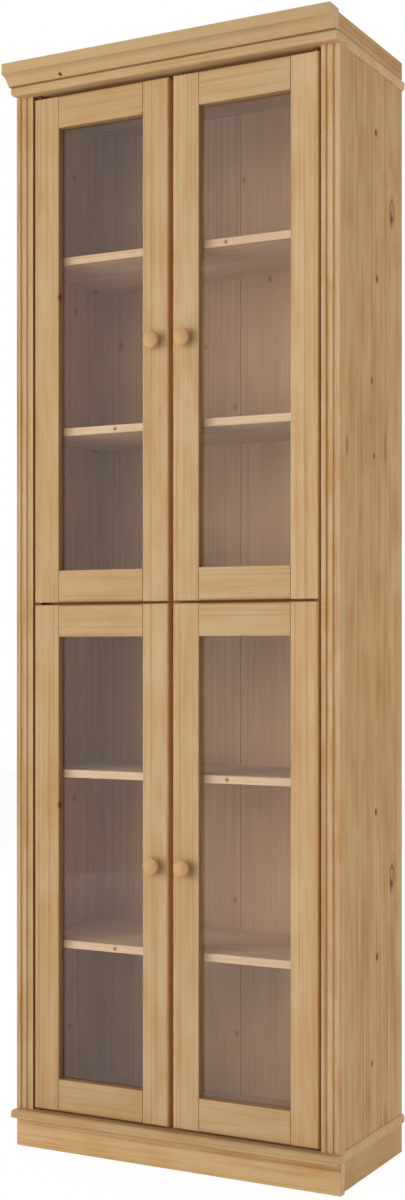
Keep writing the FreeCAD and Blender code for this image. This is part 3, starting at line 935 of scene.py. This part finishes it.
@dataclass
class Mouldings:
    """The crown above the case and the plinth below it."""

    seed: float = 61.0
    crown_level: float = 2.18
    plinth_level: float = 0.03
    # Share of painted shadow at the crown's foot
    foot_shade: float = 0.6
    crown_knot: Knot = Knot(2.166, -0.235, 0.0028, 1.3)

    def board(self, node: str, grain: Axis, seed: float, tone: Tone, **more: object) -> None:
        """Finishes one board.

        Args:
            node: The board.
            grain: The way it runs; its face is upright.
            seed: Where its grain starts.
            tone: How light it is.
            more: Other settings of its pine.
        """
        face = Axis.X if grain is Axis.Y else Axis.Y
        middle = self.crown_level if node.startswith("crown") else self.plinth_level
        Pine(node, grain, face, seed, tone, middle=middle, **more).apply()

    def build(self) -> None:
        """Finishes every board of the crown and plinth."""
        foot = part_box("crown_moulding")[0].z
        # Painted shadow along the crown's foot, where it sits on the top board
        rims = (PaintedShading.beside(Axis.Z, foot, 1.0, (1.8 * MM, 0.2 * MM), self.foot_shade),)
        self.board(
            "crown_moulding", Axis.X, self.seed, Tone.HONEY, pith=0.16, ring=0.0042,
            knots=(self.crown_knot,), figure=0.22, fine=260.0, blush=0.0, rims=rims,
        )
        self.board("plinth_front", Axis.X, self.seed + 2, Tone.BRIGHT, pith=0.1, ring=0.004, figure=1.3)
        self.board("plinth_rear", Axis.X, self.seed + 5, Tone.SHADED_WARM, pith=0.07, ring=0.004)
        for count, side in enumerate(("left", "right")):
            seed = self.seed + 8 + 3.1 * count
            quiet = {"pith": 0.09, "ring": 0.0038, "figure": 0.75, "blush": 0.1}
            self.board(f"plinth_side_{side}", Axis.Y, seed, Tone.SHADED_WARM, **quiet)
            self.board(f"crown_side_{side}", Axis.Y, seed + 1.3, Tone.SHADED_WARM, pith=0.11)


@dataclass
class Knob:
    """A turned knob, its back against the door; neck gives radii and distances ahead of it."""

    node: str
    body: str
    seed: float
    length: float = 27.0 * MM
    spigot_radius: float = 5.0 * MM
    spigot_length: float = 12.0 * MM
    foot_radius: float = 9.0 * MM
    foot_height: float = 1.2 * MM
    neck: tuple[tuple[float, float], ...] = (
        (7.6 * MM, 2.6 * MM), (7.0 * MM, 4.8 * MM), (7.3 * MM, 7.2 * MM),
        (9.0 * MM, 9.4 * MM), (12.4 * MM, 11.2 * MM),
    )
    radius: float = 17.5 * MM
    brim: float = 17.4 * MM
    brim_bend: float = 5.6 * MM
    brim_turn: float = 58.0
    curve_steps: int = 8
    steps: int = 48
    crease: float = 50.0

    def outline(self) -> list[tuple[float, float]]:
        """The turned outline as (radius, distance ahead of the door), from spigot to crest.

        Returns:
            The outline's points.
        """
        points = [(0.0, -self.spigot_length), (self.spigot_radius, -self.spigot_length)]
        points += [(self.spigot_radius, 0.0), (self.foot_radius, 0.0)]
        points.append((self.foot_radius, self.foot_height))
        points += self.neck
        for step in range(self.curve_steps + 1):
            angle = math.radians(self.brim_turn) * (2 * step / self.curve_steps - 1)
            inset = self.brim_bend * (1 - math.cos(angle))
            points.append((self.radius - inset, self.brim + self.brim_bend * math.sin(angle)))
        width, start = points[-1]
        for step in range(1, self.curve_steps + 1):
            left = 1 - step / self.curve_steps
            points.append((width * left, start + (self.length - start) * (1 - left**2)))
        return points

    def build(self) -> None:
        """Turns the knob and puts it on its door."""
        low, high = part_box(self.node)
        x, z = (low.x + high.x) / 2, (low.z + high.z) / 2
        face = high.y - self.spigot_length
        shape = bmesh.new()
        rings = []
        for radius, ahead in self.outline():
            ring = []
            for step in range(self.steps if radius > 0 else 1):
                turn = 2 * math.pi * step / self.steps
                place = (x + radius * math.cos(turn), face - ahead, z + radius * math.sin(turn))
                ring.append(shape.verts.new(place))
            rings.append(ring)
        for near, far in zip(rings, rings[1:]):
            for step in range(self.steps):
                after = (step + 1) % self.steps
                corners = [near[step % len(near)], near[after % len(near)]]
                corners += [far[after % len(far)], far[step % len(far)]]
                shape.faces.new(list(dict.fromkeys(corners)))
        finish = TurnedPine(f"pine_{self.node}", (x, face, z), self.seed).material()
        mesh = smooth_mesh(f"{self.node}_turned", shape, finish, self.crease)
        settle(f"{self.node}_turned", mesh, self.body, "pine_turned", self.node)


@dataclass
class Door:
    """One glazed door: two stiles, two rails, a pane, its beads and its fittings."""

    shared: Finishes
    level: str
    side: str
    seed: float
    hinge_tone: Tone
    knots: tuple[Knot, ...] = ()
    # Painted shading at the door's edges: its share, and how far in from the edge it begins and is
    # complete, at the outer edges, the sight edges and the rails' outer edges
    edge_shade: float = 0.4
    edge_reach: tuple[float, float] = (3.0 * MM, 0.3 * MM)
    sight_shade: float = 0.45
    sight_reach: tuple[float, float] = (1.4 * MM, 0.2 * MM)
    rail_shade: float = 0.7
    rail_reach: tuple[float, float] = (7.0 * MM, 0.3 * MM)
    bead_depth: float = 6.0 * MM
    bead_play: float = 0.2 * MM
    bead_width: float = 9.0 * MM
    bead_slope: float = 4.5 * MM

    @property
    def name(self) -> str:
        """The door's name."""
        return f"{self.level}_{self.side}"

    @property
    def body(self) -> str:
        """The body it turns with."""
        return f"{self.name}_door"

    def dress_stiles(self) -> None:
        """Finishes the two stiles."""
        outward = -1.0 if self.side == "left" else 1.0
        parts = (
            ("hinge_stile", outward, self.hinge_tone, -0.015, self.knots),
            ("closing_stile", -outward, Tone.HONEY, 0.012, ()),
        )
        for count, (part, away, tone, aside, knots) in enumerate(parts):
            node = f"{self.name}_{part}"
            low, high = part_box(node)
            edge, sight = (low.x, high.x) if away < 0 else (high.x, low.x)
            # Painted shading: warm bounce light on the outer edge that faces a gap, painted shade in the
            # reveal at the sight edge
            rims = (
                PaintedShading.beside(Axis.X, edge, -away, self.edge_reach, self.edge_shade, PAINTED_BOUNCE_TONE),
                PaintedShading.beside(Axis.X, sight, away, self.sight_reach, self.sight_shade),
            )
            Pine(
                node, Axis.Z, Axis.Y, self.seed + 1.7 * count, tone,
                middle=(low.x + high.x) / 2 + aside, pith=0.2, knots=knots, figure=0.85, rims=rims,
            ).apply()

    def dress_rails(self) -> None:
        """Finishes the two rails."""
        tone = Tone.SOFT if self.side == "left" else Tone.HONEY
        for count, (part, inward) in enumerate((("top_rail", -1.0), ("bottom_rail", 1.0))):
            node = f"{self.name}_{part}"
            low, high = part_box(node)
            sight, edge = (high.z, low.z) if inward > 0 else (low.z, high.z)
            # Painted shade: dark brown in the reveal at the sight edge, and a soft dark band in the
            # colour of the grain's dark lines along the outer edge that meets the gap between doors
            rims = (
                PaintedShading.beside(Axis.Z, sight, -inward, self.sight_reach, self.sight_shade),
                PaintedShading.beside(Axis.Z, edge, inward, self.rail_reach, self.rail_shade, FIBRE),
            )
            Pine(
                node, Axis.X, Axis.Y, self.seed + 4.1 + 2.2 * count, tone,
                middle=(low.z + high.z) / 2, pith=0.19, ring=0.0038, figure=0.7, blush=0.08, rims=rims,
            ).apply()

    def glaze(self) -> None:
        """Finishes the pane and sweeps the beads round it."""
        dress(f"{self.name}_glass", self.shared.glass)
        node = f"{self.name}_beads"
        low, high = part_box(node)
        depth = self.bead_depth - self.bead_play
        bead = Pine(node, Axis.Z, Axis.Y, self.seed + 9.4, middle=low.x, pith=0.12, ring=0.003)
        tree = Spread("bead_sweep", {"Width": self.bead_width, "Depth": depth, "Slope": self.bead_slope})
        path = tree.node("GeometryNodeMeshToCurve", inputs={0: tree.start})
        ahead = tree.value("Depth") * 0.5
        aside = tree.value("Width") * (0.5 * math.sqrt(2))
        bevel = tree.value("Slope") * math.sqrt(2)
        places = {
            "Point 1": tree.triple(ahead, aside, 0.0),
            "Point 2": tree.triple(ahead, aside * -1.0, 0.0),
            "Point 3": tree.triple(ahead * -1.0, bevel - aside, 0.0),
            "Point 4": tree.triple(ahead * -1.0, aside, 0.0),
        }
        profile = tree.node("GeometryNodeCurvePrimitiveQuadrilateral", {"mode": "POINTS"}, places)
        swept = tree.node("GeometryNodeCurveToMesh", inputs={0: path, 1: profile})
        tree.close(swept, bead.material())
        inset = self.bead_width / 2
        y = (low.y + self.bead_play + high.y) / 2
        line = oblong(f"{node}_path", low.x + inset, high.x - inset, y, low.z + inset, high.z - inset)
        mesh = tree.grow(f"{node}_mitred", line)
        settle(f"{node}_mitred", mesh, self.body, "pine_upright", node)

    def build(self) -> None:
        """Finishes the whole door and adds its knob."""
        self.dress_stiles()
        self.dress_rails()
        self.glaze()
        dress(f"{self.name}_bushes", self.shared.brass)
        dress(f"{self.name}_strike", self.shared.steel)
        Knob(f"{self.name}_knob", self.body, self.seed).build()


@dataclass
class Fittings:
    """Shelf pins, back nails, pivots, screws and catches."""

    steel: Material
    pin_radius: float = 2.5 * MM
    pin_reach: float = 10.0 * MM
    pin_seat: float = 8.0 * MM
    pin_rows: tuple[float, float] = (-0.072, 0.130)
    collar_radius: float = 3.8 * MM
    collar_thickness: float = 1.2 * MM
    nail_gap: float = 92.0 * MM
    nail_radius: float = 2.6 * MM
    nail_thickness: float = 0.6 * MM
    nail_inset: float = 5.0 * MM
    nail_from_joint: float = 8.0 * MM
    tongue: float = 5.0 * MM
    rod_sides: int = 20
    head_sides: int = 14

    def rod(self, tree: Spread, radius: str, length: Wire, seat: object = 0.0) -> Wire:
        """A round rod along Z.

        Args:
            tree: The tree to add to.
            radius: The name of its radius.
            length: Its length.
            seat: How far it reaches below nought.

        Returns:
            The rod.
        """
        sizes = {"Vertices": self.rod_sides, "Radius": tree.value(radius), "Depth": length}
        bar = tree.node("GeometryNodeMeshCylinder", inputs=sizes)
        place = tree.triple(0.0, 0.0, length * 0.5 - seat)
        return tree.node("GeometryNodeTransform", inputs={0: bar, "Translation": place})

    def pins(self) -> None:
        """Sets four pins under each loose shelf."""
        seats = []
        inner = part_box("side_panel_right")[0].x
        for number in range(1, 5):
            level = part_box(f"shelf_{number}")[0].z - self.pin_radius
            for row in self.pin_rows:
                seats += [(-inner, row, level), (inner, row, level)]
        sizes = {
            "Pin radius": self.pin_radius, "Pin length": self.pin_reach + self.pin_seat,
            "Pin seat": self.pin_seat, "Collar radius": self.collar_radius,
            "Collar thickness": self.collar_thickness,
        }
        tree = Spread("pin_rows", sizes)
        stem = self.rod(tree, "Pin radius", tree.value("Pin length"), tree.value("Pin seat"))
        collar = self.rod(tree, "Collar radius", tree.value("Collar thickness"))
        joined = tree.node("GeometryNodeJoinGeometry", inputs={0: stem})
        tree.feed(joined.socket.node.inputs[0], collar)
        side = tree.node("ShaderNodeSeparateXYZ", inputs={0: tree.node("GeometryNodeInputPosition")})
        turn = tree.triple(0.0, side.sign() * (-math.pi / 2), 0.0)
        inputs = {"Points": tree.start, "Instance": joined, "Rotation": turn}
        tree.close(tree.node("GeometryNodeInstanceOnPoints", inputs=inputs), self.steel)
        mesh = tree.grow("shelf_pins_turned", points_mesh("pin_seats", seats))
        settle("shelf_pins_turned", mesh, CARCASS, "steel", "shelf_pins")

    def nails(self) -> None:
        """Drives small flat-headed nails round the edge of each back panel."""
        sizes = {"Gap": self.nail_gap, "Radius": self.nail_radius, "Depth": self.nail_thickness}
        tree = Spread("nail_line", sizes)
        path = tree.node("GeometryNodeMeshToCurve", inputs={0: tree.start})
        even = {0: path, "Length": tree.value("Gap")}
        spaced = tree.node("GeometryNodeResampleCurve", {"mode": "LENGTH"}, even)
        radius, depth = tree.value("Radius"), tree.value("Depth")
        disc = {"Vertices": self.head_sides, "Radius": radius, "Depth": depth}
        head = tree.node("GeometryNodeMeshCylinder", inputs=disc)
        inputs = {"Points": spaced, "Instance": head, "Rotation": (math.pi / 2, 0.0, 0.0)}
        tree.close(tree.node("GeometryNodeInstanceOnPoints", inputs=inputs), self.steel)
        for side in ("left", "right"):
            low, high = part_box(f"back_panel_{side}")
            x0, x1 = low.x + self.nail_inset, high.x - self.nail_from_joint - self.tongue
            if side == "right":
                x0, x1 = low.x + self.nail_from_joint, high.x - self.nail_inset
            y = high.y + self.nail_thickness / 2
            z0, z1 = low.z + self.nail_inset, high.z - self.nail_inset
            mesh = tree.grow(f"back_nails_{side}", oblong(f"nail_path_{side}", x0, x1, y, z0, z1))
            settle(f"back_nails_{side}", mesh, CARCASS, "steel")

    def build(self) -> None:
        """Adds every fitting of the case."""
        self.pins()
        self.nails()
        dress("carcass_screws", self.steel)
        dress("door_pivots", Metal("bronzed_steel", Alloy.BRONZED).material())
        dress("door_catches", Moulded("brown_plastic").material())


@dataclass(frozen=True)
class Lamp:
    """A soft square lamp: where it hangs, where it points, its watts and its side's length."""

    name: str
    place: Point
    aim: Point
    power: float
    size: float
    tint: Colour = (1.0, 0.985, 0.96)

    def hang(self) -> None:
        """Hangs the lamp; panes don't mirror it."""
        data = bpy.data.lights.new(self.name, "AREA")
        data.energy = self.power
        data.size = self.size
        data.color = self.tint
        lamp = stand(self.name, data)
        lamp.location = self.place
        lamp.rotation_euler = (Vector(self.aim) - Vector(self.place)).to_track_quat("-Z", "Y").to_euler()
        lamp.visible_glossy = False


@dataclass
class Studio:
    """Pale floor, plain world, soft lamps and the camera."""

    eye: Point = (1.63581, -3.08766, 1.01686)
    turn: float = 27.93
    lens: float = 51.845
    lift: float = 0.0405
    sensor: float = 36.0
    reach: float = 60.0
    sky: float = 0.26
    white: Colour = (1.0, 1.0, 1.0)
    sky_tint: Colour = (1.0, 0.985, 0.965)
    floor_reach: float = 9.0
    floor_tint: Colour = (0.88, 0.88, 0.88)
    floor_glow: float = 1.1
    floor_share: float = 0.84
    lamps: tuple[Lamp, ...] = (
        Lamp("front_left_high", (-2.6, -3.6, 2.6), (0.0, 0.0, 1.2), 57.0, 2.2),
        Lamp("front_left_low", (-3.0, -3.4, 0.5), (0.0, 0.0, 0.8), 50.0, 1.8),
        Lamp("front_high", (0.6, -4.4, 2.7), (0.0, 0.0, 1.2), 22.0, 2.2),
        Lamp("front_low", (-0.8, -4.4, 0.45), (0.0, 0.0, 0.8), 31.0, 1.8),
        Lamp("right", (4.4, 2.0, 1.3), (0.0, 0.0, 1.15), 92.0, 2.6),
        Lamp("left", (-4.8, 1.2, 1.3), (0.0, 0.0, 1.15), 64.0, 2.6),
        Lamp("rear", (0.4, 5.0, 1.3), (0.0, 0.0, 1.1), 76.0, 2.8),
        Lamp("above", (0.0, 0.9, 3.9), (0.0, 0.05, 2.1), 26.0, 0.7),
    )

    def camera(self) -> None:
        """Stands the camera level, turned to the left."""
        data = bpy.data.cameras.new("camera")
        data.lens = self.lens
        data.sensor_width = self.sensor
        data.shift_y = self.lift
        data.clip_end = self.reach
        eye = stand("camera", data)
        eye.location = self.eye
        eye.rotation_euler = (math.radians(90), 0.0, math.radians(self.turn))
        bpy.context.scene.camera = eye

    @staticmethod
    def seen(wiring: Wiring) -> Wire:
        """One for rays from the camera, a mirror or through glass, else nought."""
        path = wiring.node("ShaderNodeLightPath", output="Is Camera Ray")
        return path.most(path.other("Is Glossy Ray")).most(path.other("Is Transmission Ray"))

    def world(self) -> None:
        """A white surround that lights softly."""
        world = bpy.data.worlds.new("surround")
        world.use_nodes = True
        wiring = Wiring(world.node_tree)
        wiring.tree.nodes.clear()
        glow = wiring.node("ShaderNodeBackground", inputs={0: self.sky_tint, 1: self.sky})
        white = wiring.node("ShaderNodeBackground", inputs={0: self.white, 1: 1.0})
        shown = wiring.node("ShaderNodeMixShader", inputs={0: self.seen(wiring), 1: glow, 2: white})
        wiring.node("ShaderNodeOutputWorld", inputs={"Surface": shown})
        bpy.context.scene.world = world

    def floor(self) -> None:
        """A wide white floor that keeps a faint shadow."""
        mesh = bpy.data.meshes.new("floor")
        far = self.floor_reach
        corners = [(-far, -far, 0), (far, -far, 0), (far, far, 0), (-far, far, 0)]
        mesh.from_pydata(corners, [], [(0, 1, 2, 3)])
        paint = Paint("floor_white")
        plain = paint.node("ShaderNodeBsdfDiffuse", inputs={0: self.floor_tint})
        white = paint.node("ShaderNodeEmission", inputs={0: self.white, 1: self.floor_glow})
        share = self.seen(paint) * self.floor_share
        shown = paint.node("ShaderNodeMixShader", inputs={0: share, 1: plain, 2: white})
        paint.node("ShaderNodeOutputMaterial", inputs={"Surface": shown})
        mesh.materials.append(paint.material)
        stand("floor", mesh)

    def build(self) -> None:
        """Sets up the whole studio."""
        self.camera()
        self.world()
        self.floor()
        for lamp in self.lamps:
            lamp.hang()
        bpy.context.scene.view_settings.view_transform = "Standard"


def main() -> None:
    """Builds the bookcase's looks and the studio."""
    logging.basicConfig(level=logging.INFO, format="%(name)s: %(message)s")
    steel = Metal("zinc_steel", Alloy.STEEL).material()
    brass = Metal("plain_brass", Alloy.BRASS).material()
    shared = Finishes(ClearGlass("clear_glass").material(), steel, brass)
    Studio().build()
    Carcass().build()
    Mouldings().build()
    left_knots = (Knot(-0.2561, 1.7277, 0.004, 1.6, 0.9), Knot(-0.2561, 0.7006, 0.004, 1.6, 0.9))
    doors = (
        Door(shared, "upper", "left", 71.0, Tone.SOFT, left_knots[:1]),
        Door(shared, "upper", "right", 83.0, Tone.PALE),
        Door(shared, "lower", "left", 95.0, Tone.SOFT, left_knots[1:]),
        Door(shared, "lower", "right", 107.0, Tone.PALE),
    )
    for door in doors:
        door.build()
    Fittings(steel).build()


if __name__ == "__main__":
    main()
